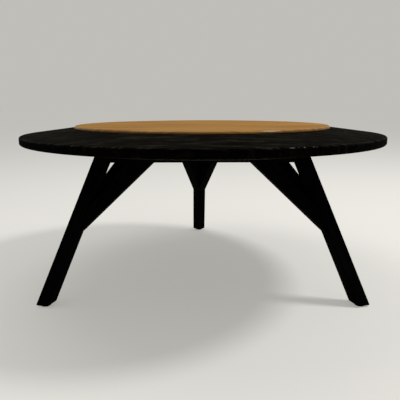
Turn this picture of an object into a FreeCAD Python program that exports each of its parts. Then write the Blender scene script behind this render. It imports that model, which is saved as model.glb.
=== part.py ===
import FreeCAD, Part
import math
import os
import Sketcher

# Round coffee table: a dished dark top with a light disc let in, on a three-legged braced frame.
# Millimetres, +Z up, origin on the floor under the middle of the top. One leg stands at the back
# (+Y) and two at the front, and the boards of the top run along X.

doc = FreeCAD.newDocument("round_coffee_table")
X = FreeCAD.Vector(1, 0, 0)
Y = FreeCAD.Vector(0, 1, 0)
Z = FreeCAD.Vector(0, 0, 1)

# Driving dimensions, in the order of the pieces that they belong to
driving_sizes = [
    ("table_height", 455, "floor to the face of the disc"),
    ("top_diameter", 1000, "over the rim of the dark top"),
    ("rim_thickness", 19, "height of the rim's upright band, with its two roundings"),
    ("rim_round", 5, "rounding of the rim's two arrises"),
    ("ring_drop", 18, "how far the dark ring falls from the disc to the rim"),
    ("under_bevel_drop", 13, "how far the underside's bevel falls from the rim"),
    ("under_bevel_width", 88, "rim to the flat underside, measured level"),
    ("top_stave_count", 8, "boards in the dark top"),
    ("ring_width", 140, "rim to the light disc, measured level"),
    ("disc_thickness", 22, "light disc"),
    ("disc_proud", 6, "how far the disc stands above the ring"),
    ("disc_gap", 0.8, "shadow gap all round the disc"),
    ("disc_round", 6, "rounding that the flats of the disc's upper arris follow"),
    ("disc_stave_count", 6, "boards in the disc"),
    ("foot_inset", 26, "rim to a leg's axis at the floor, measured level"),
    ("head_inset", 123, "edge of the flat underside to a leg's axis there"),
    ("leg_stock", 34, "side of a leg's square section"),
    ("foot_chamfer", 3, "chamfer round the sole of a leg"),
    ("rail_width", 35, "rail, across"),
    ("rail_height", 35, "rail, upright"),
    ("brace_stock", 34, "side of a brace's square section"),
    ("brace_foot_height", 192, "floor to where a brace's axis meets its leg's axis"),
    ("brace_reach", 113, "leg to brace, measured along the underside of the rail"),
    ("arris_round", 2, "rounding of the long arrises of legs, rails and braces"),
    ("glide_diameter", 26, "pad under a foot"),
    ("glide_thickness", 3, "pad under a foot"),
    ("glide_round", 1, "rounding of the pad's lower edge"),
    ("glide_pin_diameter", 5, "pin of the glide in the leg"),
    ("glide_pin_length", 12, "pin of the glide in the leg"),
    ("tenon_length", 40, "loose tenon in the top, along the boards"),
    ("tenon_width", 30, "loose tenon in the top, half in each board"),
    ("tenon_thickness", 8, "loose tenon in the top"),
    ("tenon_gap", 0.2, "glue room round a loose tenon"),
    ("tenon_clearance", 15, "a tenon's end to the counterbore of the disc screw that it passes"),
    ("dowel_diameter", 8, "dowels at rail ends and brace feet"),
    ("dowel_wall", 1, "wood left on each side of a leg's middle by the dowels of its two faces"),
    ("rail_dowel_spacing", 15, "two dowels at a rail's end, apart up the leg"),
    ("brace_dowel_spacing", 22, "two dowels at a brace's foot, apart up the leg"),
    ("head_dowel_diameter", 10, "dowel from a brace's head into the rail"),
    ("head_dowel_length", 28, "dowel from a brace's head into the rail"),
    ("bore_gap", 0.2, "glue room round a dowel, and room round a screw in its pilot hole"),
    ("screw_diameter", 5, "shank of every screw"),
    ("screw_head_diameter", 9.6, "pan head"),
    ("screw_head_height", 3.6, "pan head"),
    ("screw_head_round", 1.4, "rounding of the pan head"),
    ("screw_socket_size", 4, "across the corners of the hexagon socket"),
    ("screw_socket_depth", 2.2, "hexagon socket"),
    ("screw_point", 5, "length of the tapered point"),
    ("screw_clearance", 1, "room round a shank in the piece that it passes through"),
    ("rail_screw_length", 45, "under the head"),
    ("rail_screw_offset", 45, "middle of a rail to each of its two screws"),
    ("rail_counterbore_diameter", 13, "room for a screw's head in a rail"),
    ("rail_counterbore_depth", 10, "room for a screw's head in a rail"),
    ("disc_screw_length", 34, "under the head"),
    ("disc_screw_radius", 180, "middle of the table to the disc's screws"),
    ("disc_counterbore_diameter", 18, "room for a washer in the top's underside"),
    ("disc_counterbore_depth", 12, "room for a washer in the top's underside"),
    ("washer_diameter", 14, "washer under a disc screw's head"),
    ("washer_thickness", 1.2, "washer under a disc screw's head"),
    ("strip_overrun", 10, "how far the strips that part a board reach past its edge"),
]

dims = doc.addObject("Spreadsheet::Sheet", "dims")
for row, (alias, value, note) in enumerate(driving_sizes, start=1):
    dims.set(f"A{row}", alias)
    dims.set(f"B{row}", str(value))
    dims.set(f"C{row}", note)
    dims.setAlias(f"B{row}", alias)
doc.recompute()


def number(expression):
    """The value of an expression of the sheet's cells."""
    result = dims.evalExpression(expression)
    return float(getattr(result, "Value", result))


# Sizes that follow from the driving ones, as expressions of the sheet
top_radius = "(dims.top_diameter / 2)"
underside_radius = f"({top_radius} - dims.under_bevel_width)"
disc_radius = f"({top_radius} - dims.ring_width)"
foot_radius = f"({top_radius} - dims.foot_inset)"
leg_head_radius = f"({underside_radius} - dims.head_inset)"
recess_radius = f"({disc_radius} + dims.disc_gap)"
recess_floor = "(dims.table_height - dims.disc_thickness)"
ring_top = "(dims.table_height - dims.disc_proud)"
rim_top = f"({ring_top} - dims.ring_drop)"
rim_bottom = f"({rim_top} - dims.rim_thickness)"
underside = f"({rim_bottom} - dims.under_bevel_drop)"
rail_bottom = f"({underside} - dims.rail_height)"
cutter_size = "(2 * dims.top_diameter)"
# A leg's two dowelled faces are square to each other, so half of this reaches almost to the
# side of the dowel that comes from the other face
dowel_length = "(dims.leg_stock - dims.dowel_diameter - 2 * dims.dowel_wall)"

# The three legs stand at the corners of an equal-sided triangle, and a rail joins each pair.
# The axes of two neighbouring legs lie in one leaning plane, and that side's braces lie in it too.
leg_names = ["back", "left", "right"]
leg_angles = [90, 210, 330]
rail_names = ["left", "front", "right"]
half_corner = 60    # degrees between a leg's and a rail's directions, seen from the middle
leg_turn = 45    # degrees that a leg is turned about its axis, so that an arris faces outward
leg_slope = f"(({foot_radius} - {leg_head_radius}) / {underside})"
plane_slope = f"({leg_slope} * cos({half_corner}))"
brace_rise = f"(({rail_bottom} - dims.brace_foot_height) / cos(atan({plane_slope})))"
brace_run = (f"({leg_slope} * ({rail_bottom} - dims.brace_foot_height) * sin({half_corner})"
             " + dims.brace_reach)")
brace_length = f"sqrt({brace_run}^2 + {brace_rise}^2)"


def leg_radius_at(height):
    return number(foot_radius) - number(leg_slope) * height


def shift(along_x=0, along_y=0, along_z=0):
    return FreeCAD.Placement(FreeCAD.Vector(along_x, along_y, along_z), FreeCAD.Rotation())


def turn(axis, degrees):
    return FreeCAD.Placement(FreeCAD.Vector(), FreeCAD.Rotation(axis, degrees))


def leg_frame(leg):
    """Origin where the leg's axis meets the floor, z up the leg, x outward."""
    lean = math.degrees(math.atan(number(leg_slope)))
    return turn(Z, leg_angles[leg]) * shift(number(foot_radius)) * turn(Y, -lean)


def leg_face(leg, side):
    """On the leg's inner face towards the neighbour on that side: x out of the face, z up the leg."""
    return leg_frame(leg) * turn(Z, 180 - side * leg_turn) * shift(number("dims.leg_stock") / 2)


def up_the_face(face, height):
    """The point at that height above the floor on the middle line of a leg's face."""
    up = face.Rotation.multVec(Z)
    return face * shift(0, 0, (height - face.Base.z) / up.z)


def side_angle(rail):
    return leg_angles[rail] + half_corner


def rail_frame(rail):
    """Upright, on the middle line of the rail's underside: x outward, y along the rail."""
    return turn(Z, side_angle(rail)) * shift(
        leg_radius_at(number(rail_bottom)) * math.cos(math.radians(half_corner)), 0, number(rail_bottom)
    )


def brace_frame(leg, side):
    """Origin where the brace's axis meets the leg's axis: z up the brace, x out of the side's plane."""
    rail = leg if side > 0 else (leg - 1) % len(rail_names)
    plane_lean = math.degrees(math.atan(number(plane_slope)))
    foot_height = number("dims.brace_foot_height")
    foot_along = leg_radius_at(foot_height) * math.sin(math.radians(half_corner))
    slant = math.degrees(math.atan2(number(brace_run), number(brace_rise)))
    return (rail_frame(rail) * turn(Y, -plane_lean)
            * shift(0, -side * foot_along, -number(brace_rise)) * turn(X, -side * slant))


def outline(body, name, role, corners):
    """A closed sketch of straight lines on one of the body's planes, each corner tied to the sheet."""
    plane = next(feature for feature in body.Origin.OriginFeatures if feature.Role == role)
    sketch = body.newObject("Sketcher::SketchObject", name)
    sketch.AttachmentSupport = (plane, [""])
    sketch.MapMode = "FlatFace"
    places = [FreeCAD.Vector(number(across), number(up), 0) for across, up in corners]
    count = len(corners)
    for index, place in enumerate(places):
        sketch.addGeometry(Part.LineSegment(place, places[(index + 1) % count]))
    for index in range(count):
        sketch.addConstraint(Sketcher.Constraint("Coincident", index, 2, (index + 1) % count, 1))
    for index, (across, up) in enumerate(corners):
        for kind, axis, expression in (("DistanceX", -2, across), ("DistanceY", -1, up)):
            if expression == "0":
                sketch.addConstraint(Sketcher.Constraint("PointOnObject", index, 1, axis))
            else:
                tie = sketch.addConstraint(
                    Sketcher.Constraint(kind, -1, 1, index, 1, number(expression)))
                sketch.setExpression(f"Constraints[{tie}]", expression)
    return sketch


def turned_body(name, corners):
    """A body turned about Z from half of its section, given as radii and heights."""
    body = doc.addObject("PartDesign::Body", name)
    sketch = outline(body, name + "_section", "XZ_Plane", corners)
    revolution = body.newObject("PartDesign::Revolution", name + "_turned")
    revolution.Profile = sketch
    revolution.ReferenceAxis = (sketch, ["V_Axis"])
    revolution.Angle = 360
    doc.recompute()
    return body


def round_edges(body, name, radius, is_wanted):
    """Rounds the edges of the body's last feature that is_wanted picks."""
    base = body.Tip
    edges = [f"Edge{index}" for index, edge in enumerate(base.Shape.Edges, start=1) if is_wanted(edge)]
    fillet = body.newObject("PartDesign::Fillet", name)
    fillet.Base = (base, edges)
    fillet.setExpression("Radius", radius)
    doc.recompute()


def circle_at(radius, height):
    """A test for the circular edge of that radius at that height."""
    wanted_radius = number(radius)
    wanted_height = number(height)
    near = number("dims.bore_gap") / 2

    def is_there(edge):
        curve = edge.Curve
        return (isinstance(curve, Part.Circle) and abs(curve.Radius - wanted_radius) < near
                and abs(curve.Center.z - wanted_height) < near)

    return is_there


def squared_bar(name, width, height, length, placement):
    """A straight bar with rounded long arrises, centred on its z axis from z = 0."""
    body = doc.addObject("PartDesign::Body", name)
    sketch = outline(body, name + "_section", "XY_Plane", [
        (f"-{width} / 2", f"-{height} / 2"),
        (f"{width} / 2", f"-{height} / 2"),
        (f"{width} / 2", f"{height} / 2"),
        (f"-{width} / 2", f"{height} / 2"),
    ])
    pad = body.newObject("PartDesign::Pad", name + "_length")
    pad.Profile = sketch
    pad.setExpression("Length", length)
    doc.recompute()
    upright = math.cos(math.radians(1))    # an edge within a degree of the bar's length
    round_edges(body, name + "_arrises", "dims.arris_round",
                lambda edge: abs(edge.tangentAt(edge.FirstParameter).z) > upright)
    body.Placement = placement
    return body


def box(name, length, width, height, placement):
    solid = doc.addObject("Part::Box", name)
    solid.setExpression("Length", length)
    solid.setExpression("Width", width)
    solid.setExpression("Height", height)
    solid.Placement = placement
    return solid


def cylinder(name, diameter, height, placement):
    """Along the placement's z axis, from its origin."""
    solid = doc.addObject("Part::Cylinder", name)
    solid.setExpression("Radius", f"({diameter}) / 2")
    solid.setExpression("Height", height)
    solid.Placement = placement
    return solid


def cut(name, base, tools):
    tool = tools[0]
    if len(tools) > 1:
        tool = doc.addObject("Part::MultiFuse", name + "_tools")
        tool.Shapes = tools
    result = doc.addObject("Part::Cut", name)
    result.Base = base
    result.Tool = tool
    return result


def common(name, first, second):
    result = doc.addObject("Part::Common", name)
    result.Base = first
    result.Tool = second
    return result


def group(name, pieces):
    """Loose pieces of one kind that share a node."""
    result = doc.addObject("Part::Compound", name)
    result.Links = pieces
    return result


nodes = []    # what is written, one file for each

# What is cut out of each piece, filled in as the joints are laid out
top_tools = []
disc_tools = []
leg_tools = {leg: [] for leg in range(len(leg_names))}
rail_tools = {rail: [] for rail in range(len(rail_names))}
brace_tools = {(leg, side): [] for leg in range(len(leg_names)) for side in (1, -1)}


# Dowels
def dowel(name, diameter, length, placement, tool_lists):
    """A dowel half on each side of its placement, and its bore in each piece that it joins."""
    bore_length = f"{length} + 2 * dims.bore_gap"
    bore = cylinder(name + "_bore", f"{diameter} + 2 * dims.bore_gap", bore_length,
                    placement * shift(0, 0, -number(bore_length) / 2))
    for tools in tool_lists:
        tools.append(bore)
    return cylinder(name, diameter, length, placement * shift(0, 0, -number(length) / 2))


dowel_quarters = 4    # half of a dowel is in each piece, so its middle there is a quarter from the joint
rail_dowels = []
brace_foot_dowels = []
brace_head_dowels = []
for leg, leg_name in enumerate(leg_names):
    for side in (1, -1):
        rail = leg if side > 0 else (leg - 1) % len(rail_names)
        neighbour = leg_names[(leg + side) % len(leg_names)]
        face = leg_face(leg, side)
        along_normal = turn(Y, 90)

        rail_middle = up_the_face(face, number(rail_bottom) + number("dims.rail_height") / 2)
        for place, step in (("lower", -1), ("upper", 1)):
            height = step * number("dims.rail_dowel_spacing") / 2
            rail_dowels.append(dowel(
                f"rail_dowel_{leg_name}_to_{neighbour}_{place}", "dims.dowel_diameter", dowel_length,
                rail_middle * shift(0, 0, height) * along_normal, [leg_tools[leg], rail_tools[rail]]))

        # A brace climbs steeply beside its leg. Its dowels' outer halves are centred on its axis, so
        # that wood is left under the lower one
        brace = brace_frame(leg, side)
        brace_axis = brace.Rotation.multVec(Z)
        normal = face.Rotation.multVec(X)
        past_face = number(dowel_length) / dowel_quarters
        reach = (number("dims.leg_stock") / 2 + past_face) / brace_axis.dot(normal)
        mid_dowel = (brace * shift(0, 0, reach)).Base - normal * past_face
        brace_middle = up_the_face(face, mid_dowel.z)
        for place, step in (("lower", -1), ("upper", 1)):
            height = step * number("dims.brace_dowel_spacing") / 2
            brace_foot_dowels.append(dowel(
                f"brace_foot_dowel_{leg_name}_to_{neighbour}_{place}", "dims.dowel_diameter",
                dowel_length, brace_middle * shift(0, 0, height) * along_normal,
                [leg_tools[leg], brace_tools[leg, side]]))

        # The head dowel stands upright where the brace's axis reaches the rail's underside
        head_along = (leg_radius_at(number(rail_bottom)) * math.sin(math.radians(half_corner))
                      - number("dims.brace_reach"))
        brace_head_dowels.append(dowel(
            f"brace_head_dowel_{leg_name}_to_{neighbour}", "dims.head_dowel_diameter",
            "dims.head_dowel_length", rail_frame(rail) * shift(0, -side * head_along),
            [rail_tools[rail], brace_tools[leg, side]]))


# Screws
socket_sides = 6


def screw(name, length, placement):
    """Pan head below z = 0, where it seats, and a plain shank with a tapered point above."""
    shank_radius = "(dims.screw_diameter / 2)"
    head_radius = "(dims.screw_head_diameter / 2)"
    body = turned_body(name + "_blank", [
        ("0", "-dims.screw_head_height"),
        (head_radius, "-dims.screw_head_height"),
        (head_radius, "0"),
        (shank_radius, "0"),
        (shank_radius, f"{length} - dims.screw_point"),
        ("0", length),
    ])
    round_edges(body, name + "_head", "dims.screw_head_round",
                circle_at(head_radius, "-dims.screw_head_height"))
    socket = doc.addObject("Part::Prism", name + "_socket")
    socket.Polygon = socket_sides
    socket.setExpression("Circumradius", "dims.screw_socket_size / 2")
    socket.setExpression("Height", "dims.screw_socket_depth")
    socket.Placement = shift(0, 0, -number("dims.screw_head_height"))
    result = cut(name, body, [socket])
    result.Placement = placement
    return result


rail_screws = []
for rail, rail_name in enumerate(rail_names):
    for index, step in enumerate((-1, 1), start=1):
        foot = rail_frame(rail) * shift(0, step * number("dims.rail_screw_offset"))
        seat = foot * shift(0, 0, number("dims.rail_counterbore_depth"))
        name = f"rail_screw_{rail_name}_{index}"
        rail_tools[rail].append(cylinder(
            name + "_counterbore", "dims.rail_counterbore_diameter", "dims.rail_counterbore_depth", foot))
        rail_tools[rail].append(cylinder(
            name + "_clearance", "dims.screw_diameter + 2 * dims.screw_clearance", "dims.rail_height", foot))
        top_tools.append(cylinder(
            name + "_pilot", "dims.screw_diameter + 2 * dims.bore_gap",
            "dims.rail_screw_length + dims.bore_gap", seat))
        rail_screws.append(screw(name, "dims.rail_screw_length", seat))

disc_screws = []
disc_washers = []
for rail, rail_name in enumerate(rail_names):
    foot = turn(Z, side_angle(rail)) * shift(number("dims.disc_screw_radius"), 0, number(underside))
    washer_place = foot * shift(
        0, 0, number("dims.disc_counterbore_depth") - number("dims.washer_thickness"))
    name = f"disc_screw_{rail_name}"
    top_tools.append(cylinder(
        name + "_counterbore", "dims.disc_counterbore_diameter", "dims.disc_counterbore_depth", foot))
    top_tools.append(cylinder(
        name + "_clearance", "dims.screw_diameter + 2 * dims.screw_clearance",
        f"{recess_floor} - {underside}", foot))
    disc_tools.append(cylinder(
        name + "_pilot", "dims.screw_diameter + 2 * dims.bore_gap",
        "dims.disc_screw_length + dims.bore_gap", washer_place))
    disc_screws.append(screw(name, "dims.disc_screw_length", washer_place))
    disc_washers.append(cut(f"disc_washer_{rail_name}", cylinder(
        name + "_washer_blank", "dims.washer_diameter", "dims.washer_thickness", washer_place
    ), [cylinder(
        name + "_washer_hole", "dims.screw_diameter + 2 * dims.bore_gap", "dims.washer_thickness",
        washer_place)]))

# Loose tenons across the glue lines of the dark top
top_tenons = []
top_stave_count = round(number("dims.top_stave_count"))
top_stave_width = "(dims.top_diameter / dims.top_stave_count)"
tenon_height = (number(underside) + number(recess_floor)) / 2
tenon_place = (number("dims.disc_screw_radius") * math.sin(math.radians(half_corner))
               + number("dims.disc_counterbore_diameter / 2 + dims.tenon_clearance + dims.tenon_length / 2"))
for seam in range(1, top_stave_count):
    seam_place = seam * number(top_stave_width) - number(top_radius)
    for index, step in enumerate((-1, 1), start=1):
        middle = shift(step * tenon_place, seam_place, tenon_height)
        name = f"top_tenon_{seam}_{index}"
        sizes = ["dims.tenon_length", "dims.tenon_width", "dims.tenon_thickness"]
        top_tenons.append(box(name, *sizes, middle * shift(*[-number(size) / 2 for size in sizes])))
        sizes = [f"{size} + 2 * dims.tenon_gap" for size in sizes]
        top_tools.append(box(
            name + "_mortise", *sizes, middle * shift(*[-number(size) / 2 for size in sizes])))


# The dark top: turned to its dished and bevelled section, then parted into its boards
def staves(name, blank, count, width, radius):
    """The blank parted along X into boards of one width, numbered from the front.

    The strips reach past the blank all round, so that none only touches its edge.
    """
    overrun = number("dims.strip_overrun")
    last = round(number(count)) - 1
    for index in range(last + 1):
        strip_width = width
        strip_front = index * number(width) - number(radius)
        if index in (0, last):
            strip_width = f"{width} + dims.strip_overrun"
        if index == 0:
            strip_front -= overrun
        strip = box(f"{name}_{index + 1}_strip", f"2 * {radius} + 2 * dims.strip_overrun", strip_width,
                    "dims.table_height + dims.strip_overrun",
                    shift(-number(radius) - overrun, strip_front))
        nodes.append(common(f"{name}_{index + 1}", blank, strip))


top_blank = turned_body("top_blank", [
    ("0", underside),
    (underside_radius, underside),
    (top_radius, rim_bottom),
    (top_radius, rim_top),
    (recess_radius, ring_top),
    (recess_radius, recess_floor),
    ("0", recess_floor),
])
round_edges(top_blank, "rim_upper_arris", "dims.rim_round", circle_at(top_radius, rim_top))
round_edges(top_blank, "rim_lower_arris", "dims.rim_round", circle_at(top_radius, rim_bottom))
staves("top_stave", cut("top_bored", top_blank, top_tools), "dims.top_stave_count", top_stave_width,
       top_radius)

# The light disc, which lies on the floor of the recess. Its upper arris is turned in narrow flats
# along its rounding, so that the sawn edge of each board crosses it in straight lines.
arris_flats = 6
arris_turns = [90 * step / arris_flats for step in range(arris_flats + 1)]
disc_blank = turned_body("disc_blank", [
    ("0", recess_floor),
    (disc_radius, recess_floor),
    *[(f"{disc_radius} - dims.disc_round * (1 - cos({degrees}))",
       f"dims.table_height - dims.disc_round * (1 - sin({degrees}))") for degrees in arris_turns],
    ("0", "dims.table_height"),
])
staves("disc_stave", cut("disc_bored", disc_blank, disc_tools), "dims.disc_stave_count",
       f"(2 * {disc_radius} / dims.disc_stave_count)", disc_radius)

# Glides: a pad on the floor with a pin up into the leg
glide_place = leg_radius_at(number("dims.glide_thickness"))
for leg, leg_name in enumerate(leg_names):
    glide = turned_body(f"glide_{leg_name}", [
        ("0", "0"),
        ("dims.glide_diameter / 2", "0"),
        ("dims.glide_diameter / 2", "dims.glide_thickness"),
        ("dims.glide_pin_diameter / 2", "dims.glide_thickness"),
        ("dims.glide_pin_diameter / 2", "dims.glide_thickness + dims.glide_pin_length"),
        ("0", "dims.glide_thickness + dims.glide_pin_length"),
    ])
    round_edges(glide, f"glide_{leg_name}_edge", "dims.glide_round",
                circle_at("dims.glide_diameter / 2", "0"))
    glide.Placement = turn(Z, leg_angles[leg]) * shift(glide_place)
    nodes.append(glide)
    leg_tools[leg].append(cylinder(
        f"glide_{leg_name}_bore", "dims.glide_pin_diameter + 2 * dims.bore_gap",
        "dims.glide_thickness + dims.glide_pin_length + dims.bore_gap", glide.Placement))


def sole_bevel(leg, face_turn, name):
    """What the chamfer along one face of a leg takes off its sole."""
    size = "(2 * dims.leg_stock)"
    face = up_the_face(
        leg_frame(leg) * turn(Z, face_turn) * shift(number("dims.leg_stock") / 2),
        number("dims.glide_thickness"))
    out_of_face = face.Rotation.multVec(X)
    along = out_of_face.cross(Z).normalize()
    up_face = along.cross(out_of_face).normalize()
    into_sole = along.cross(Z).normalize()
    if up_face.z < 0:
        up_face = -up_face
    if into_sole.dot(out_of_face) > 0:
        into_sole = -into_sole
    slant = (up_face - into_sole).normalize()
    outward = along.cross(slant).normalize()
    if outward.dot(out_of_face) < 0:
        outward = -outward
    edge = face.Base + up_face * number("dims.foot_chamfer")
    cutter = FreeCAD.Placement(edge, FreeCAD.Rotation(outward, along, outward.cross(along), "XYZ"))
    return box(name, size, size, size, cutter * shift(0, -number(size) / 2, -number(size) / 2))


# Legs: square bars turned so that an arris faces outward, cut level at both ends
leg_sides = 4
standing_room = box("standing_room", cutter_size, cutter_size, f"{underside} - dims.glide_thickness",
                    shift(-number(cutter_size) / 2, -number(cutter_size) / 2,
                          number("dims.glide_thickness")))
for leg, leg_name in enumerate(leg_names):
    bar = squared_bar(f"leg_{leg_name}_bar", "dims.leg_stock", "dims.leg_stock",
                      f"{underside} / cos(atan({leg_slope})) + 2 * dims.leg_stock",
                      leg_frame(leg) * turn(Z, leg_turn) * shift(0, 0, -number("dims.leg_stock")))
    standing = common(f"leg_{leg_name}_standing", bar, standing_room)
    bevels = [sole_bevel(leg, leg_turn + 360 * face / leg_sides, f"leg_{leg_name}_bevel_{face + 1}")
              for face in range(leg_sides)]
    nodes.append(cut(f"leg_{leg_name}", standing, bevels + leg_tools[leg]))


# What a piece that butts against a leg's inner face loses
def face_cutter(leg, side, name):
    """Everything behind the plane of the leg's inner face."""
    size = number(cutter_size)
    return box(name, cutter_size, cutter_size, cutter_size,
               leg_face(leg, side) * shift(-size, -size / 2, -size / 2))


def mitre_cutter(leg, side, name):
    """Everything across the upright plane through the leg's axis and the middle of the table."""
    size = number(cutter_size)
    return box(name, cutter_size, cutter_size, cutter_size,
               turn(Z, leg_angles[leg]) * shift(-size / 2, -size if side > 0 else 0, -size / 2))


# Rails: upright bars under the top, cut to the inner faces of two legs
for rail, rail_name in enumerate(rail_names):
    next_leg = (rail + 1) % len(leg_names)
    length = f"2 * {foot_radius} * sin({half_corner})"
    bar = squared_bar(f"rail_{rail_name}_bar", "dims.rail_width", "dims.rail_height", length,
                      rail_frame(rail) * shift(0, number(length) / 2, number("dims.rail_height") / 2)
                      * turn(X, 90))
    ends = [
        face_cutter(rail, 1, f"rail_{rail_name}_end_1"),
        face_cutter(next_leg, -1, f"rail_{rail_name}_end_2"),
        mitre_cutter(rail, 1, f"rail_{rail_name}_mitre_1"),
        mitre_cutter(next_leg, -1, f"rail_{rail_name}_mitre_2"),
    ]
    nodes.append(cut(f"rail_{rail_name}", bar, ends + rail_tools[rail]))

# Braces: from a leg's inner face up to the underside of the rail
for leg, leg_name in enumerate(leg_names):
    for side in (1, -1):
        neighbour = leg_names[(leg + side) % len(leg_names)]
        name = f"brace_{leg_name}_to_{neighbour}"
        overrun = "2 * dims.brace_stock"
        bar = squared_bar(name + "_bar", "dims.brace_stock", "dims.brace_stock",
                          f"{brace_length} + 2 * {overrun}",
                          brace_frame(leg, side) * shift(0, 0, -number(overrun)))
        under_rail = box(name + "_head_cut", cutter_size, cutter_size, cutter_size,
                         shift(-number(cutter_size) / 2, -number(cutter_size) / 2, number(rail_bottom)))
        ends = [
            face_cutter(leg, side, name + "_foot_cut"),
            mitre_cutter(leg, side, name + "_mitre"),
            under_rail,
        ]
        nodes.append(cut(name, bar, ends + brace_tools[leg, side]))

nodes += [
    group("rail_dowels", rail_dowels),
    group("brace_foot_dowels", brace_foot_dowels),
    group("brace_head_dowels", brace_head_dowels),
    group("top_tenons", top_tenons),
    group("rail_screws", rail_screws),
    group("disc_screws", disc_screws),
    group("disc_washers", disc_washers),
]
doc.recompute()

for item in doc.Objects:
    if "Invalid" in item.State or "Error" in item.State:
        raise RuntimeError(f"{item.Name} did not compute: {item.State}")
for node in nodes:
    if node.Shape.isNull() or not node.Shape.isValid() or not node.Shape.Solids:
        raise RuntimeError(f"{node.Label} has no valid solid")

os.makedirs("parts", exist_ok=True)
for node in nodes:
    node.Shape.exportStep(f"parts/{node.Label}.step")
print(len(nodes), "nodes,", sum(len(node.Shape.Solids) for node in nodes), "solids")
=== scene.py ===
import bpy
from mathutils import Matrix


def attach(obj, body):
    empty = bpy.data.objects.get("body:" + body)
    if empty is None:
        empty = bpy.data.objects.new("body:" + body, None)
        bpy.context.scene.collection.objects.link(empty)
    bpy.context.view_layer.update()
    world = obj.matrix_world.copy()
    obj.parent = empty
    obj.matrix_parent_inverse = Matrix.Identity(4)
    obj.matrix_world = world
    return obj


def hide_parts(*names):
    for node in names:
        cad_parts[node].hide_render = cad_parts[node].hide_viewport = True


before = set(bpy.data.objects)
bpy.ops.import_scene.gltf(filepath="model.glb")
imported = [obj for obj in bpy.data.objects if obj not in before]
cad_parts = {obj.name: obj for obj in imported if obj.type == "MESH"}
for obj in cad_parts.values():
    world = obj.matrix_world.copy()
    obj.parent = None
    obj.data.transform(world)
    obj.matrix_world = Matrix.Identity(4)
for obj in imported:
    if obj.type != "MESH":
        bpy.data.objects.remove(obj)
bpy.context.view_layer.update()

import bpy
import bmesh
import math
from mathutils import Matrix, Vector

# Round coffee table: a dished, black-stained and brushed oak top with a golden oak disc let in,
# on a braced three-legged frame. Metres, +Z up, boards along X, one leg at the back (+Y).

mm = 0.001
sameSpot = 0.001 * mm  # points nearer than this are one point
sharpAngle = math.radians(25)  # edges sharper than this are shaded sharp
scene = bpy.context.scene


def toLinear(hexColour):  # sRGB hex to the linear colour that shaders take
    parts = [int(hexColour[i:i + 2], 16) / 255 for i in (1, 3, 5)]
    return [p / 12.92 if p <= 0.04045 else ((p + 0.055) / 1.055) ** 2.4 for p in parts] + [1.0]


def addNode(tree, kind, settings=None, links=None):
    # A setting is a property of the node or, by name or number, the value of one of its inputs
    node = tree.nodes.new(kind)
    for name, value in (settings or {}).items():
        if isinstance(name, str) and hasattr(node, name):
            setattr(node, name, value)
        else:
            node.inputs[name].default_value = value
    for name, output in (links or {}).items():
        tree.links.new(output, node.inputs[name])
    return node


def newMaterial(name):
    material = bpy.data.materials.new(name)
    material.use_nodes = True
    material.node_tree.nodes.clear()
    return material, material.node_tree


def useMaterial(piece, material):
    if not piece.material_slots:
        piece.data.materials.append(material)
    for slot in piece.material_slots:
        slot.material = material


print("frame loaded:", len(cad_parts), "nodes")

# Wood. The pattern's x runs along the grain, its y across the growth rings and its z along them,
# so long faces show streaks and ends show the rings as short upright lines. Each look gives the
# sizes of its figure, rings and pores in mm, along, across and through the board, and one size is
# about half a spacing. Pores are drawn several times as wide as real ones, so that they show.
woodPattern = {  # what all the woods share
    "noiseRoughness": 0.55, "figureDetail": 3.0, "ringDetail": 4.0, "poreDetail": 2.0,
    "logReach": 3.7, "poreSpan": (0.60, 0.68), "roughSpan": (0.3, 0.7), "roughSpread": 0.07,
    "ridgeSpan": (0.52, 0.62), "bumpDepth": 1.0,
}


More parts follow.
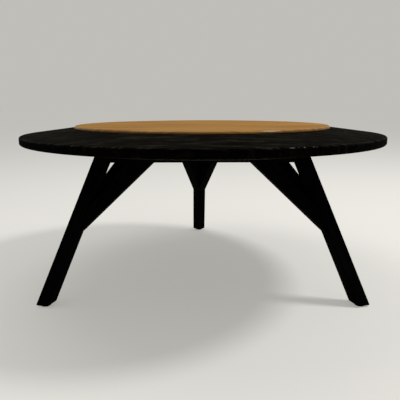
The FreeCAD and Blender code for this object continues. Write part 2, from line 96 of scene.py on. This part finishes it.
def woodMaterial(name, look, turned=None, grain=None):
    # turned is the dictionary of a turned piece made of boards, grain the axes of a slanting piece
    material, tree = newMaterial(name)
    place = addNode(tree, "ShaderNodeTexCoord").outputs["Object"]

    if turned is not None:  # where its edge is: 0 before each span of radius or height and 1 past it
        level = addNode(tree, "ShaderNodeVectorMath", {"operation": "MULTIPLY", 1: (1, 1, 0)}, {0: place})
        radius = addNode(tree, "ShaderNodeVectorMath", {"operation": "LENGTH"}, {0: level.outputs[0]})
        height = addNode(tree, "ShaderNodeSeparateXYZ", {}, {0: place})
        past = {}
        for span, output in (("stainAndShadeRadius", radius.outputs["Value"]),
                             ("arrisRadius", radius.outputs["Value"]), ("arrisHeight", height.outputs["Z"])):
            spanFrom, spanTo = turned["edge"][span]
            past[span] = addNode(tree, "ShaderNodeMapRange",
                                 {"From Min": spanFrom * mm, "From Max": spanTo * mm}, {"Value": output})
        atArris = addNode(tree, "ShaderNodeMath", {"operation": "MULTIPLY"},
                          {0: past["arrisRadius"].outputs[0], 1: past["arrisHeight"].outputs[0]})
    if grain is not None:  # turned to a slanting piece
        dots = [addNode(tree, "ShaderNodeVectorMath", {"operation": "DOT_PRODUCT", 1: axis}, {0: place})
                for axis in grain]
        place = addNode(tree, "ShaderNodeCombineXYZ", {},
                        {"XYZ"[i]: dots[i].outputs["Value"] for i in range(3)}).outputs[0]

    if turned is not None:  # each board comes from another place in the log
        split = addNode(tree, "ShaderNodeSeparateXYZ", {}, {0: place})
        fromFirst = addNode(tree, "ShaderNodeMath", {"operation": "ADD", 1: turned["radius"] * mm},
                            {0: split.outputs["Y"]})
        counted = addNode(tree, "ShaderNodeMath",
                          {"operation": "DIVIDE", 1: 2 * turned["radius"] * mm / turned["boards"]},
                          {0: fromFirst.outputs[0]})
        number = addNode(tree, "ShaderNodeMath", {"operation": "FLOOR"}, {0: counted.outputs[0]})
        board = addNode(tree, "ShaderNodeTexWhiteNoise", {"noise_dimensions": "1D"},
                        {"W": number.outputs[0]})
        jump = addNode(tree, "ShaderNodeVectorMath",
                       {"operation": "SCALE", "Scale": woodPattern["logReach"]},
                       {0: board.outputs["Color"]})
        place = addNode(tree, "ShaderNodeVectorMath", {"operation": "ADD"},
                        {0: place, 1: jump.outputs[0]}).outputs[0]

    def grainNoise(size, detail, distortion=0.0):
        scaled = addNode(tree, "ShaderNodeVectorMath",
                         {"operation": "MULTIPLY", 1: [1 / (length * mm) for length in size]}, {0: place})
        return addNode(tree, "ShaderNodeTexNoise",
                       {"Scale": 1.0, "Detail": detail, "Roughness": woodPattern["noiseRoughness"],
                        "Distortion": distortion}, {"Vector": scaled.outputs[0]}).outputs["Fac"]

    figure = grainNoise(look["figure"], woodPattern["figureDetail"], look["waver"])
    rings = grainNoise(look["rings"], woodPattern["ringDetail"])
    pores = grainNoise(look["pores"], woodPattern["poreDetail"])

    ramp = addNode(tree, "ShaderNodeValToRGB", {}, {"Fac": rings})
    stops = ramp.color_ramp.elements
    for stop, position, shade in zip(stops, look["ringSpan"], (look["earlyWood"], look["lateWood"])):
        stop.position, stop.color = position, toLinear(shade)
    bandFrom, bandTo = look["bandSpan"]
    bandShare = addNode(tree, "ShaderNodeMapRange",
                        {"From Min": bandFrom, "From Max": bandTo, "To Max": look["bandShare"]},
                        {"Value": figure})
    banded = addNode(tree, "ShaderNodeMix", {"data_type": "RGBA", 7: toLinear(look["band"])},
                     {0: bandShare.outputs[0], 6: ramp.outputs["Color"]})
    poreFrom, poreTo = woodPattern["poreSpan"]
    poreShare = addNode(tree, "ShaderNodeMapRange",
                        {"From Min": poreFrom, "From Max": poreTo, "To Max": look["poreShare"]},
                        {"Value": pores})
    pored = addNode(tree, "ShaderNodeMix", {"data_type": "RGBA", 7: toLinear(look["pore"])},
                    {0: poreShare.outputs[0], 6: banded.outputs[2]})
    colour = pored.outputs[2]
    if turned is not None:  # boards differ in tone, and the outer edge is darkened: partly end grain drinking more stain, partly painted shade on the upright side
        tone = addNode(tree, "ShaderNodeMapRange",
                       {"To Min": 1 - look["boardSpread"], "To Max": 1 + look["boardSpread"]},
                       {"Value": board.outputs["Value"]})
        toned = addNode(tree, "ShaderNodeHueSaturation", {}, {"Color": colour, "Value": tone.outputs[0]})
        edgeStainAndShadeShare = addNode(tree, "ShaderNodeMath", {"operation": "MULTIPLY", 1: look["edgeStainAndShadeShare"]},
                            {0: past["stainAndShadeRadius"].outputs[0]})
        colour = addNode(tree, "ShaderNodeMix", {"data_type": "RGBA", 7: toLinear(look["edge"])},
                         {0: edgeStainAndShadeShare.outputs[0], 6: toned.outputs[0]}).outputs[2]

    poreDepth = addNode(tree, "ShaderNodeMath", {"operation": "MULTIPLY", 1: -look["poreRelief"]},
                        {0: poreShare.outputs[0]})
    relief = addNode(tree, "ShaderNodeMath", {"operation": "MULTIPLY_ADD", 1: look["ringRelief"]},
                     {0: rings, 2: poreDepth.outputs[0]})
    bump = addNode(tree, "ShaderNodeBump",
                   {"Strength": look["bump"], "Distance": woodPattern["bumpDepth"] * mm},
                   {"Height": relief.outputs[0]})
    roughFrom, roughTo = woodPattern["roughSpan"]  # hard late wood is the smoother
    rough = addNode(tree, "ShaderNodeMapRange",
                    {"From Min": roughFrom, "From Max": roughTo,
                     "To Min": look["roughness"] + woodPattern["roughSpread"],
                     "To Max": look["roughness"] - woodPattern["roughSpread"]}, {"Value": rings})
    shader = addNode(tree, "ShaderNodeBsdfPrincipled",
                     {"IOR": look["ior"], "Specular IOR Level": look["specular"]},
                     {"Base Color": colour, "Roughness": rough.outputs[0],
                      "Normal": bump.outputs["Normal"]})
    if turned is not None:  # hands and cloths polish the ridges of its upper arris
        ridgeFrom, ridgeTo = woodPattern["ridgeSpan"]
        glossFrom, glossTo = look["edgeGloss"]
        ridges = addNode(tree, "ShaderNodeMapRange",
                         {"From Min": ridgeFrom, "From Max": ridgeTo, "To Min": glossFrom,
                          "To Max": glossTo}, {"Value": rings})
        polish = addNode(tree, "ShaderNodeMath", {"operation": "MULTIPLY"},
                         {0: atArris.outputs[0], 1: ridges.outputs[0]})
        shader.inputs["Coat Roughness"].default_value = look["edgeRoughness"]
        tree.links.new(polish.outputs[0], shader.inputs["Coat Weight"])
    addNode(tree, "ShaderNodeOutputMaterial", {}, {"Surface": shader.outputs[0]})
    return material


# Oak brushed along the grain and stained black: soft early wood is brushed out and drinks the stain,
# so it is matt, with short greyish streaks. Rings about 4 mm apart, as the ends at the rim show.
blackOak = {
    "earlyWood": "#010101", "lateWood": "#0F0E09", "ringSpan": (0.44, 0.60),
    "band": "#302D21", "bandShare": 0.65, "bandSpan": (0.52, 0.64), "waver": 0.8,
    "pore": "#010101", "poreShare": 0.7, "boardSpread": 0.10,
    "figure": (60, 7, 40), "rings": (150, 2.0, 24), "pores": (14, 1.1, 1.1),
    "ringRelief": 0.9, "poreRelief": 0.4, "bump": 0.7, "roughness": 0.85, "ior": 1.46,
    # the edge colour darkens the rim band and its arrises: partly stain in the end grain, partly painted
    # shade on the upright band
    "specular": 0.01, "edge": "#020202", "edgeStainAndShadeShare": 0.8, "edgeGloss": (0.0, 0.3), "edgeRoughness": 0.25,
}
# The same oak planed smooth for the frame: the stain lies evenly, so it shows next to no figure. Its colours
# are also set darker on the whole than the top's, as painted shade on the upright frame.
planedShadedBlackOak = {
    **blackOak, "earlyWood": "#030303", "lateWood": "#090907", "band": "#0B0A08", "bandShare": 0.4,
    "figure": (140, 9, 40), "pore": "#020202", "poreShare": 0.4, "ringRelief": 0.3, "poreRelief": 0.3,
    "bump": 0.4,
}
# Golden oak, sanded and oiled: fine straight grain, soft satin
goldenOak = {
    "earlyWood": "#A0732F", "lateWood": "#BF8E48", "ringSpan": (0.40, 0.60),
    "band": "#895A1F", "bandShare": 0.75, "bandSpan": (0.46, 0.60), "waver": 0.3,
    "pore": "#6F4A1C", "poreShare": 0.30, "boardSpread": 0.03,
    "figure": (340, 13, 60), "rings": (260, 2.4, 24), "pores": (16, 0.9, 0.9),
    "ringRelief": 0.12, "poreRelief": 0.10, "bump": 0.25, "roughness": 0.55, "ior": 1.46,
    # the darker brown edge colour on the upright side and arris is painted shade, with some deeper stain in
    # the end grain
    "specular": 0.02, "edge": "#6A3F17", "edgeStainAndShadeShare": 0.6, "edgeGloss": (0.36, 0.44), "edgeRoughness": 0.18,
}
# Raw beech of dowels and tenons: pale, with short flecks
rawBeech = {
    "earlyWood": "#C39A6E", "lateWood": "#D9B588", "ringSpan": (0.34, 0.66),
    "band": "#C9A072", "bandShare": 0.3, "bandSpan": (0.38, 0.64), "waver": 0.3,
    "pore": "#A97F52", "poreShare": 0.5, "boardSpread": 0.0,
    "figure": (60, 6, 12), "rings": (30, 0.8, 4), "pores": (3, 0.4, 0.4),
    "ringRelief": 0.1, "poreRelief": 0.1, "bump": 0.2, "roughness": 0.62, "ior": 1.46,
    "specular": 0.4,
}

# The turned top and disc. Their sections are drawn from the outer foot of the side to the inner
# top, as radius and height in mm, and the flats inside them are filled afterwards.
grooves = {  # brushed into the upright faces, where the rings come out
    "length": 160, "height": 22, "detail": 1.0, "depthSpan": (0.42, 0.62), "levelSpan": (0.25, 0.85),
}


def roundedCorner(before, corner, after, radius, steps):
    # Points of the arc that rounds a corner between two straight runs
    toBefore = (Vector(before) - Vector(corner)).normalized()
    toAfter = (Vector(after) - Vector(corner)).normalized()
    half = toBefore.angle(toAfter) / 2
    centre = Vector(corner) + (toBefore + toAfter).normalized() * radius / math.sin(half)
    first = Vector(corner) + toBefore * radius / math.tan(half) - centre
    last = Vector(corner) + toAfter * radius / math.tan(half) - centre
    sweep = first.angle_signed(last)
    return [tuple(centre + Matrix.Rotation(-sweep * i / steps, 2) @ first) for i in range(steps + 1)]


def between(start, end, steps):  # points inside a straight run
    return [tuple(Vector(start).lerp(Vector(end), i / steps)) for i in range(1, steps)]


def turnedTree(name):
    # Turns a section about Z, closes it and brushes its upright faces
    tree = bpy.data.node_groups.new(name, "GeometryNodeTree")
    sockets = {}
    for label, kind in (("Section", "NodeSocketGeometry"), ("Segments", "NodeSocketInt"),
                        ("Rows", "NodeSocketInt"), ("Relief", "NodeSocketFloat"),
                        ("Ring Spacing", "NodeSocketFloat"), ("Seed", "NodeSocketFloat"),
                        ("Finish", "NodeSocketMaterial")):
        sockets[label] = tree.interface.new_socket(label, in_out="INPUT", socket_type=kind).identifier
    tree.interface.new_socket("Turned", in_out="OUTPUT", socket_type="NodeSocketGeometry")
    given = addNode(tree, "NodeGroupInput").outputs
    columns = addNode(tree, "ShaderNodeMath", {"operation": "ADD", 1: 1.0}, {0: given["Segments"]})
    grid = addNode(tree, "GeometryNodeMeshGrid", {"Size X": 1.0, "Size Y": 1.0},
                   {"Vertices X": columns.outputs[0], "Vertices Y": given["Rows"]})
    gridSpot = addNode(tree, "GeometryNodeInputPosition").outputs[0]
    flat = addNode(tree, "ShaderNodeSeparateXYZ", {}, {0: gridSpot})
    turnShare = addNode(tree, "ShaderNodeMath", {"operation": "ADD", 1: 0.5}, {0: flat.outputs["X"]})
    angle = addNode(tree, "ShaderNodeMath", {"operation": "MULTIPLY", 1: 2 * math.pi},
                    {0: turnShare.outputs[0]})
    rowShare = addNode(tree, "ShaderNodeMath", {"operation": "ADD", 1: 0.5}, {0: flat.outputs["Y"]})
    lastRow = addNode(tree, "ShaderNodeMath", {"operation": "SUBTRACT", 1: 1.0}, {0: given["Rows"]})
    rowPlace = addNode(tree, "ShaderNodeMath", {"operation": "MULTIPLY"},
                       {0: rowShare.outputs[0], 1: lastRow.outputs[0]})
    row = addNode(tree, "ShaderNodeMath", {"operation": "ROUND"}, {0: rowPlace.outputs[0]})
    corner = addNode(tree, "GeometryNodeSampleIndex", {"data_type": "FLOAT_VECTOR", "domain": "POINT"},
                     {"Geometry": given["Section"], "Index": row.outputs[0],
                      "Value": addNode(tree, "GeometryNodeInputPosition").outputs[0]})
    section = addNode(tree, "ShaderNodeSeparateXYZ", {}, {0: corner.outputs[0]})
    cosine = addNode(tree, "ShaderNodeMath", {"operation": "COSINE"}, {0: angle.outputs[0]})
    sine = addNode(tree, "ShaderNodeMath", {"operation": "SINE"}, {0: angle.outputs[0]})
    acrossX = addNode(tree, "ShaderNodeMath", {"operation": "MULTIPLY"},
                      {0: section.outputs["X"], 1: cosine.outputs[0]})
    acrossY = addNode(tree, "ShaderNodeMath", {"operation": "MULTIPLY"},
                      {0: section.outputs["X"], 1: sine.outputs[0]})
    turned = addNode(tree, "ShaderNodeCombineXYZ", {},
                     {"X": acrossX.outputs[0], "Y": acrossY.outputs[0], "Z": section.outputs["Z"]})
    placed = addNode(tree, "GeometryNodeSetPosition", {},
                     {"Geometry": grid.outputs["Mesh"], "Position": turned.outputs[0]})
    closed = addNode(tree, "GeometryNodeMergeByDistance", {"Distance": sameSpot},
                     {"Geometry": placed.outputs[0]})

    spot = addNode(tree, "GeometryNodeInputPosition").outputs[0]
    perRing = addNode(tree, "ShaderNodeMath", {"operation": "DIVIDE", 0: 2.0}, {1: given["Ring Spacing"]})
    sizes = addNode(tree, "ShaderNodeCombineXYZ",
                    {"X": 1 / (grooves["length"] * mm), "Z": 1 / (grooves["height"] * mm)},
                    {"Y": perRing.outputs[0]})
    scaled = addNode(tree, "ShaderNodeVectorMath", {"operation": "MULTIPLY"}, {0: spot, 1: sizes.outputs[0]})
    rings = addNode(tree, "ShaderNodeTexNoise",
                    {"noise_dimensions": "4D", "Scale": 1.0, "Detail": grooves["detail"]},
                    {"Vector": scaled.outputs[0], "W": given["Seed"]})
    depthFrom, depthTo = grooves["depthSpan"]
    groove = addNode(tree, "ShaderNodeMapRange",
                     {"interpolation_type": "SMOOTHSTEP", "From Min": depthFrom, "From Max": depthTo},
                     {"Value": rings.outputs["Fac"]})
    normal = addNode(tree, "GeometryNodeInputNormal").outputs[0]
    facing = addNode(tree, "ShaderNodeSeparateXYZ", {}, {0: normal})
    level = addNode(tree, "ShaderNodeMath", {"operation": "ABSOLUTE"}, {0: facing.outputs["Z"]})
    levelFrom, levelTo = grooves["levelSpan"]
    upright = addNode(tree, "ShaderNodeMapRange",
                      {"interpolation_type": "SMOOTHSTEP", "From Min": levelFrom, "From Max": levelTo,
                       "To Min": 1.0, "To Max": 0.0}, {"Value": level.outputs[0]})
    depth = addNode(tree, "ShaderNodeMath", {"operation": "MULTIPLY"},
                    {0: groove.outputs[0], 1: upright.outputs[0]})
    inward = addNode(tree, "ShaderNodeMath", {"operation": "MULTIPLY"},
                     {0: depth.outputs[0], 1: given["Relief"]})
    outward = addNode(tree, "ShaderNodeVectorMath", {"operation": "MULTIPLY", 1: (-1, -1, 0)}, {0: spot})
    towardsAxis = addNode(tree, "ShaderNodeVectorMath", {"operation": "NORMALIZE"}, {0: outward.outputs[0]})
    offset = addNode(tree, "ShaderNodeVectorMath", {"operation": "SCALE"},
                     {0: towardsAxis.outputs[0], "Scale": inward.outputs[0]})
    brushed = addNode(tree, "GeometryNodeSetPosition", {},
                      {"Geometry": closed.outputs[0], "Offset": offset.outputs[0]})
    real = addNode(tree, "GeometryNodeRealizeInstances", {}, {0: brushed.outputs[0]})
    finished = addNode(tree, "GeometryNodeSetMaterial", {},
                       {"Geometry": real.outputs[0], "Material": given["Finish"]})
    addNode(tree, "NodeGroupOutput", {}, {0: finished.outputs[0]})
    return tree, sockets


def turnedMesh(name, section, sizes, finish):
    mesh = bpy.data.meshes.new(name + "Section")
    mesh.from_pydata([(r * mm, 0, z * mm) for r, z in section],
                     [(i, i + 1) for i in range(len(section) - 1)], [])
    blank = bpy.data.objects.new(name + "Blank", mesh)
    scene.collection.objects.link(blank)
    tree, sockets = turnedTree(name + "Turning")
    modifier = blank.modifiers.new("turning", "NODES")
    modifier.node_group = tree
    values = {"Segments": sizes["segments"], "Rows": len(section), "Relief": sizes["relief"] * mm,
              "Ring Spacing": sizes["ringSpacing"] * mm, "Seed": sizes["seed"], "Finish": finish}
    for label, value in values.items():
        modifier[sockets[label]] = value
    result = bpy.data.meshes.new_from_object(
        blank.evaluated_get(bpy.context.evaluated_depsgraph_get()))
    blank.modifiers.remove(modifier)
    bpy.data.objects.remove(blank)
    return result


def sawnBoard(name, blank, front, back, finish, bores=()):
    # One board of the turned blank: filled flats, sawn at two planes across Y, and its bores
    bm = bmesh.new()
    bm.from_mesh(blank)
    bmesh.ops.holes_fill(bm, edges=[e for e in bm.edges if e.is_boundary], sides=0)
    for sawnAt, side in ((front, -1), (back, 1)):
        parts = bm.verts[:] + bm.edges[:] + bm.faces[:]
        bmesh.ops.bisect_plane(bm, geom=parts, dist=sameSpot, plane_co=(0, sawnAt, 0),
                               plane_no=(0, side, 0), clear_outer=True)
        bmesh.ops.holes_fill(bm, edges=[e for e in bm.edges if e.is_boundary], sides=0)
    bmesh.ops.recalc_face_normals(bm, faces=bm.faces[:])
    for face in bm.faces:  # the large flats have more corners, and are shaded flat
        face.smooth = len(face.verts) <= 4
    for edge in bm.edges:
        if len(edge.link_faces) == 2 and edge.calc_face_angle(0) > sharpAngle:
            edge.smooth = False
    mesh = bpy.data.meshes.new(name)
    bm.to_mesh(mesh)
    bm.free()
    piece = bpy.data.objects.new(name, mesh)
    scene.collection.objects.link(piece)
    for x, y, radius, low, high, sides in bores:
        cutter = bmesh.new()
        bmesh.ops.create_cone(cutter, cap_ends=True, segments=sides, radius1=radius, radius2=radius,
                              depth=high - low, matrix=Matrix.Translation((x, y, (low + high) / 2)))
        cutterMesh = bpy.data.meshes.new("bore")
        cutter.to_mesh(cutterMesh)
        cutter.free()
        cutterPiece = bpy.data.objects.new("bore", cutterMesh)
        scene.collection.objects.link(cutterPiece)
        modifier = piece.modifiers.new("bore", "BOOLEAN")
        modifier.operation = "DIFFERENCE"
        modifier.solver = "EXACT"
        modifier.object = cutterPiece
        piece.data = bpy.data.meshes.new_from_object(
            piece.evaluated_get(bpy.context.evaluated_depsgraph_get()))
        piece.modifiers.remove(modifier)
        bpy.data.objects.remove(cutterPiece)
    useMaterial(piece, finish)
    return piece


# The dark top: bevel, band with two rounded arrises, ring up to the recess, and its wall. The
# spans of its edge, for stain with painted shade and for polish, are radii and heights too.
blackTop = {
    "radius": 500, "boards": 8, "underside": 399, "undersideRadius": 412, "rimBottom": 412,
    "rimTop": 431, "ringTop": 449, "recessRadius": 360.8, "recessFloor": 433, "rimRound": 5.0,
    "lipRound": 0.5, "segments": 2200, "bevelSteps": 6, "bandSteps": 6, "ringSteps": 14,
    "roundSteps": 8, "lipSteps": 3, "relief": 0.35, "ringSpacing": 3.8, "seed": 7.3,
    "edge": {"stainAndShadeRadius": (495.5, 499), "arrisRadius": (494.5, 497), "arrisHeight": (427.5, 429.5)},
    "screwRadius": 180, "screwAngles": (30, 150, 270), "counterboreRadius": 9,
    "counterboreDepth": 12, "cutterStart": 5, "cutterSides": 96,
}
blackTopFinish = woodMaterial("blackBrushedOakTop", blackOak, turned=blackTop)
foot = (blackTop["undersideRadius"], blackTop["underside"])
bandLow = (blackTop["radius"], blackTop["rimBottom"])
bandHigh = (blackTop["radius"], blackTop["rimTop"])
lip = (blackTop["recessRadius"], blackTop["ringTop"])
wallFoot = (blackTop["recessRadius"], blackTop["recessFloor"])
lowArc = roundedCorner(foot, bandLow, bandHigh, blackTop["rimRound"], blackTop["roundSteps"])
highArc = roundedCorner(bandLow, bandHigh, lip, blackTop["rimRound"], blackTop["roundSteps"])
lipArc = roundedCorner(bandHigh, lip, wallFoot, blackTop["lipRound"], blackTop["lipSteps"])
topSection = ([foot] + between(foot, lowArc[0], blackTop["bevelSteps"])
              + lowArc + between(lowArc[-1], highArc[0], blackTop["bandSteps"])
              + highArc + between(highArc[-1], lipArc[0], blackTop["ringSteps"]) + lipArc + [wallFoot])
topBlank = turnedMesh("blackTop", topSection, blackTop, blackTopFinish)
boardWidth = 2 * blackTop["radius"] / blackTop["boards"]
for index in range(blackTop["boards"]):
    front = -blackTop["radius"] + index * boardWidth
    bores = []
    for degrees in blackTop["screwAngles"]:
        x = blackTop["screwRadius"] * math.cos(math.radians(degrees))
        y = blackTop["screwRadius"] * math.sin(math.radians(degrees))
        if front < y < front + boardWidth:
            bores.append((x * mm, y * mm, blackTop["counterboreRadius"] * mm,
                          (blackTop["underside"] - blackTop["cutterStart"]) * mm,
                          (blackTop["underside"] + blackTop["counterboreDepth"]) * mm,
                          blackTop["cutterSides"]))
    piece = sawnBoard(f"blackTopBoard{index + 1}", topBlank, front * mm, (front + boardWidth) * mm,
                      blackTopFinish, bores)
    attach(piece, "root")
    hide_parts(f"top_stave_{index + 1}")
print("dark top turned and sawn")

# The golden disc: an upright side and a rounded upper arris
goldenDisc = {
    "radius": 360, "boards": 6, "bottom": 433, "top": 455, "round": 6.0, "segments": 1440,
    "sideSteps": 8, "roundSteps": 10, "relief": 0.06, "ringSpacing": 3.0, "seed": 2.1,
    "edge": {"stainAndShadeRadius": (357, 359.8), "arrisRadius": (354.5, 357), "arrisHeight": (449.5, 451.5)},
}
goldenDiscFinish = woodMaterial("goldenOiledOakDisc", goldenOak, turned=goldenDisc)
discFoot = (goldenDisc["radius"], goldenDisc["bottom"])
discCorner = (goldenDisc["radius"], goldenDisc["top"])
discArc = roundedCorner(discFoot, discCorner, (0, goldenDisc["top"]), goldenDisc["round"],
                        goldenDisc["roundSteps"])
discSection = [discFoot] + between(discFoot, discArc[0], goldenDisc["sideSteps"]) + discArc
discBlank = turnedMesh("goldenDisc", discSection, goldenDisc, goldenDiscFinish)
boardWidth = 2 * goldenDisc["radius"] / goldenDisc["boards"]
for index in range(goldenDisc["boards"]):
    front = -goldenDisc["radius"] + index * boardWidth
    piece = sawnBoard(f"goldenDiscBoard{index + 1}", discBlank, front * mm, (front + boardWidth) * mm,
                      goldenDiscFinish)
    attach(piece, "root")
    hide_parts(f"disc_stave_{index + 1}")
print("golden disc turned and sawn")


# Zinc-plated steel of the screws and washers: pale grey metal with a faint mottle
zincPlate = {
    "mottle": 1.5, "detail": 3.0, "dark": "#A9ACAD", "light": "#C6C9CA", "roughness": (0.26, 0.46),
    "bump": 0.12, "bumpDepth": 0.1,
}
# Moulded nylon of the glides: matt, and scuffed pale where it slides on the floor
glideNylon = {
    "texture": 0.5, "detail": 2.0, "colour": "#161616", "scuff": "#55534F", "scuffHeight": 1.2,
    "scuffShare": 0.35, "roughness": 0.62, "ior": 1.53, "bump": 0.2, "bumpDepth": 0.1,
}


def zincMaterial(name, look):
    material, tree = newMaterial(name)
    place = addNode(tree, "ShaderNodeTexCoord").outputs["Object"]
    mottle = addNode(tree, "ShaderNodeTexNoise",
                     {"Scale": 1 / (look["mottle"] * mm), "Detail": look["detail"]},
                     {"Vector": place}).outputs["Fac"]
    smoothest, roughest = look["roughness"]
    rough = addNode(tree, "ShaderNodeMapRange", {"To Min": smoothest, "To Max": roughest},
                    {"Value": mottle})
    ramp = addNode(tree, "ShaderNodeValToRGB", {}, {"Fac": mottle})
    ramp.color_ramp.elements[0].color = toLinear(look["dark"])
    ramp.color_ramp.elements[1].color = toLinear(look["light"])
    bump = addNode(tree, "ShaderNodeBump", {"Strength": look["bump"], "Distance": look["bumpDepth"] * mm},
                   {"Height": mottle})
    shader = addNode(tree, "ShaderNodeBsdfPrincipled", {"Metallic": 1.0},
                     {"Base Color": ramp.outputs["Color"], "Roughness": rough.outputs[0],
                      "Normal": bump.outputs["Normal"]})
    addNode(tree, "ShaderNodeOutputMaterial", {}, {"Surface": shader.outputs[0]})
    return material


def nylonMaterial(name, look):
    material, tree = newMaterial(name)
    place = addNode(tree, "ShaderNodeTexCoord").outputs["Object"]
    texture = addNode(tree, "ShaderNodeTexNoise",
                      {"Scale": 1 / (look["texture"] * mm), "Detail": look["detail"]},
                      {"Vector": place})
    height = addNode(tree, "ShaderNodeSeparateXYZ", {}, {0: place})
    scuff = addNode(tree, "ShaderNodeMapRange",
                    {"From Min": 0.0, "From Max": look["scuffHeight"] * mm,
                     "To Min": look["scuffShare"], "To Max": 0.0}, {"Value": height.outputs["Z"]})
    mix = addNode(tree, "ShaderNodeMix",
                  {"data_type": "RGBA", 6: toLinear(look["colour"]), 7: toLinear(look["scuff"])},
                  {0: scuff.outputs[0]})
    bump = addNode(tree, "ShaderNodeBump", {"Strength": look["bump"], "Distance": look["bumpDepth"] * mm},
                   {"Height": texture.outputs["Fac"]})
    shader = addNode(tree, "ShaderNodeBsdfPrincipled",
                     {"Roughness": look["roughness"], "IOR": look["ior"]},
                     {"Base Color": mix.outputs[2], "Normal": bump.outputs["Normal"]})
    addNode(tree, "ShaderNodeOutputMaterial", {}, {"Surface": shader.outputs[0]})
    return material


beech = woodMaterial("rawBeech", rawBeech)
zinc = zincMaterial("zincPlatedSteel", zincPlate)
nylon = nylonMaterial("mouldedNylon", glideNylon)
for name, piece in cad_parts.items():
    if name.endswith(("dowels", "tenons")):
        useMaterial(piece, beech)
    elif name.endswith(("screws", "washers")):
        useMaterial(piece, zinc)
    elif name.startswith("glide"):
        useMaterial(piece, nylon)
    elif name.startswith(("leg_", "rail_", "brace_")):
        # The grain runs along the piece: its long axis joins its two farthest points
        points = [v.co for v in piece.data.vertices]
        centre = sum(points, Vector()) / len(points)
        far = max(points, key=lambda p: (p - centre).length)
        other = max(points, key=lambda p: (p - far).length)
        along = (far - other).normalized()
        across = along.cross(Vector((0, 0, 1))).normalized()
        axes = [tuple(along), tuple(across), tuple(along.cross(across))]
        # each frame piece gets the darker copy of the black oak, which carries painted shade
        useMaterial(piece, woodMaterial("blackPlanedShadedOak_" + name, planedShadedBlackOak, grain=axes))
print("frame and hardware finished")

# Camera. Its focal length and frame are in pixels and its angles in radians.
view = {
    "focal": 430, "image": 400, "distance": 1276.3 * mm, "height": 507.2 * mm, "sideways": -0.2 * mm,
    "pitch": 0.2154, "yaw": -0.0233, "roll": 0.0028, "tableTurn": 0.0184, "centreColumn": 191.2,
    "sensor": 36, "clipStart": 0.05, "clipEnd": 200,
}
cameraData = bpy.data.cameras.new("camera")
cameraData.sensor_width = view["sensor"]
cameraData.lens = view["focal"] / view["image"] * cameraData.sensor_width
cameraData.shift_x = (view["image"] / 2 - view["centreColumn"]) / view["image"]
cameraData.clip_start = view["clipStart"]
cameraData.clip_end = view["clipEnd"]
camera = bpy.data.objects.new("camera", cameraData)
scene.collection.objects.link(camera)
forward = Vector((math.sin(view["yaw"]) * math.cos(view["pitch"]),
                  math.cos(view["yaw"]) * math.cos(view["pitch"]), -math.sin(view["pitch"])))
levelRight = Vector((math.cos(view["yaw"]), -math.sin(view["yaw"]), 0))
levelDown = forward.cross(levelRight)
right = math.cos(view["roll"]) * levelRight + math.sin(view["roll"]) * levelDown
down = -math.sin(view["roll"]) * levelRight + math.cos(view["roll"]) * levelDown
facing = Matrix((right, -down, -forward)).transposed().to_4x4()
camera.matrix_world = (Matrix.Rotation(-view["tableTurn"], 4, "Z")
                       @ Matrix.Translation((view["sideways"], -view["distance"], view["height"]))
                       @ facing)
scene.camera = camera

# Floor and world. The far floor, lit by the fill alone and lifted by its glow, has the tone of the
# backdrop.
paper = {
    "reach": 60.0, "colour": "#CFCDC6", "seen": "#DEDCD6", "seenStrength": 0.461,
    "fill": "#F2F3F5", "fillStrength": 0.34, "backdrop": "#E4E2DC", "backdropStrength": 0.678,
}


def seenShare(tree):  # 1 where it is looked at, straight or in gloss or glass, and 0 for its light
    ray = addNode(tree, "ShaderNodeLightPath").outputs
    shown = addNode(tree, "ShaderNodeMath", {"operation": "MAXIMUM"},
                    {0: ray["Is Camera Ray"], 1: ray["Is Glossy Ray"]})
    return addNode(tree, "ShaderNodeMath", {"operation": "MAXIMUM"},
                   {0: shown.outputs[0], 1: ray["Is Transmission Ray"]}).outputs[0]


floorFinish, floorTree = newMaterial("palePaperFloor")
glow = addNode(floorTree, "ShaderNodeEmission",
               {"Color": toLinear(paper["seen"]), "Strength": paper["seenStrength"]})
matt = addNode(floorTree, "ShaderNodeBsdfDiffuse", {"Color": toLinear(paper["colour"])})
lifted = addNode(floorTree, "ShaderNodeAddShader", {}, {0: matt.outputs[0], 1: glow.outputs[0]})
floorMix = addNode(floorTree, "ShaderNodeMixShader", {},
                   {0: seenShare(floorTree), 1: matt.outputs[0], 2: lifted.outputs[0]})
addNode(floorTree, "ShaderNodeOutputMaterial", {}, {"Surface": floorMix.outputs[0]})
floorMesh = bpy.data.meshes.new("floor")
reach = paper["reach"]
floorMesh.from_pydata([(-reach, -reach, 0), (reach, -reach, 0), (reach, reach, 0), (-reach, reach, 0)],
                      [], [(0, 1, 2, 3)])
floor = bpy.data.objects.new("floor", floorMesh)
scene.collection.objects.link(floor)
useMaterial(floor, floorFinish)

world = bpy.data.worlds.new("paleRoom")
scene.world = world
world.use_nodes = True
worldTree = world.node_tree
worldTree.nodes.clear()
fill = addNode(worldTree, "ShaderNodeBackground",
               {"Color": toLinear(paper["fill"]), "Strength": paper["fillStrength"]})
backdrop = addNode(worldTree, "ShaderNodeBackground",
                   {"Color": toLinear(paper["backdrop"]), "Strength": paper["backdropStrength"]})
blend = addNode(worldTree, "ShaderNodeMixShader", {},
                {0: seenShare(worldTree), 1: fill.outputs[0], 2: backdrop.outputs[0]})
addNode(worldTree, "ShaderNodeOutputWorld", {}, {"Surface": blend.outputs[0]})

softLights = {  # place, size across in metres, watts
    "windowLight": ((2.5, 0.0, 3.8), 0.9, 84),
    "ceilingLight": ((-0.7, 0.5, 2.9), 1.8, 14),
}
lightTarget = Vector((0, 0, 0.35))
for name, (place, size, watts) in softLights.items():
    lampData = bpy.data.lights.new(name, "AREA")
    lampData.shape = "DISK"
    lampData.size = size
    lampData.energy = watts
    lamp = bpy.data.objects.new(name, lampData)
    lamp.location = place
    lamp.rotation_euler = (lightTarget - Vector(place)).to_track_quat("-Z", "Y").to_euler()
    scene.collection.objects.link(lamp)

scene.view_settings.view_transform = "Standard"
print("camera and light set")
